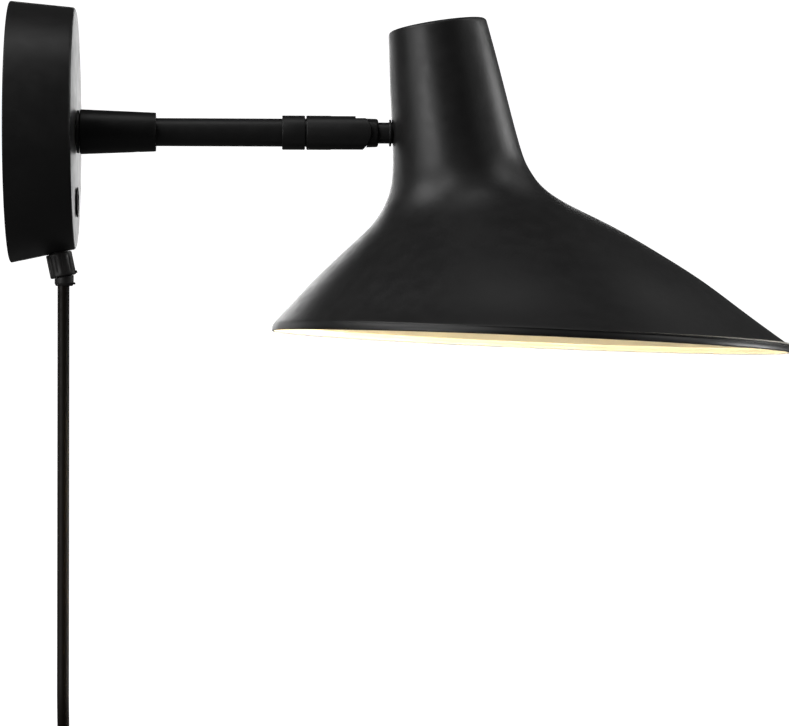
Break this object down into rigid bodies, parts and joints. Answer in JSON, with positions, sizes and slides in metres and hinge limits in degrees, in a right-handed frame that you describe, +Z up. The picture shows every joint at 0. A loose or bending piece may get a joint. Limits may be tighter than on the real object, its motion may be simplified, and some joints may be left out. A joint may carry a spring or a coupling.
{
  "type": "wall sconce",
  "caption": "Wall light: tapered round wall plate, short straight arm, tilt and swivel knuckle and an asymmetric funnel shade, fed by a hanging cord with a plug.",
  "frame": {"origin": "centre of the wall plate's back, on the wall", "axes": "+X out of the wall along the arm, +Z up, +Y to the left of a person who faces the wall's outward side from the wall"},
  "size_m": [0.3591, 0.2396, 0.504],
  "materials": {
    "black_paint": "satin",
    "cream_paint": "matte",
    "black_plastic": "satin",
    "cord_rubber": "matte",
    "plain_steel": "zinc plated",
    "plain_brass": "bare",
    "terminal_ceramic": "unglazed",
    "opal_glass": "opal, frosted",
    "white_plastic": "satin",
    "wire_blue": "satin",
    "wire_brown": "satin"
  },
  "bodies": {
    "wall_unit": {"wall_bracket": "plain_steel", "canopy_cover": "black_paint", "cover_screw_upper": "plain_steel", "cover_screw_lower": "plain_steel", "terminal_block": "terminal_ceramic", "terminal_screw_live": "plain_brass", "terminal_screw_neutral": "plain_brass", "switch_housing": "black_plastic", "cord_grip": "black_plastic", "cord_grip_nut": "black_plastic", "cord_collar": "black_plastic", "supply_wire_live": "wire_brown", "supply_wire_neutral": "wire_blue", "lamp_wire_live": "wire_brown", "lamp_wire_neutral": "wire_blue", "boss_spacer": "black_paint", "arm_boss": "black_paint", "boss_screw": "plain_steel", "canopy_nipple": "plain_steel", "canopy_washer": "plain_steel", "canopy_nut": "plain_steel", "arm_tube": "black_paint", "swivel_ring": "black_paint", "swivel_spigot": "black_paint", "retaining_nut": "plain_steel", "cord_drop": "cord_rubber", "cord_coil": "cord_rubber", "coil_tie": "black_plastic", "cord_tail": "cord_rubber", "plug_body": "black_plastic", "plug_pin_live": "plain_steel", "plug_pin_neutral": "plain_steel"},
    "rocker": {"switch_rocker": "black_plastic"},
    "knuckle": {"pivot_housing": "black_paint", "pivot_screw": "plain_steel", "friction_washer_near": "plain_brass", "friction_washer_far": "plain_brass"},
    "head": {"tilt_tongue": "black_paint", "neck_nipple": "black_paint", "neck_washer": "black_paint", "shade_shell": "black_paint", "neck_nut": "plain_steel", "holder_bracket": "plain_steel", "holder_cap": "black_plastic", "holder_skirt": "black_plastic", "holder_contact": "plain_brass", "holder_nipple": "plain_steel", "holder_nut": "plain_steel", "bulb_screw_cap": "plain_steel", "bulb_contact": "plain_brass", "bulb_collar": "white_plastic", "bulb_globe": "opal_glass", "holder_wire_live": "wire_brown", "holder_wire_neutral": "wire_blue"}
  },
  "joints": [
    {"name": "arm_swivel", "type": "hinge", "parent": "wall_unit", "child": "knuckle", "pos_m": [0.1354, 0, 0.0003], "axis": [1, 0, 0], "range_deg": [-165, 165]},
    {"name": "shade_tilt", "type": "hinge", "parent": "knuckle", "child": "head", "pos_m": [0.1555, 0, 0.0003], "axis": [0, 1, 0], "range_deg": [-45, 45]},
    {"name": "switch_rock", "type": "hinge", "parent": "wall_unit", "child": "rocker", "pos_m": [0.0286, 0, -0.0321], "axis": [0, 1, 0], "range_deg": [0, 14]}
  ]
}
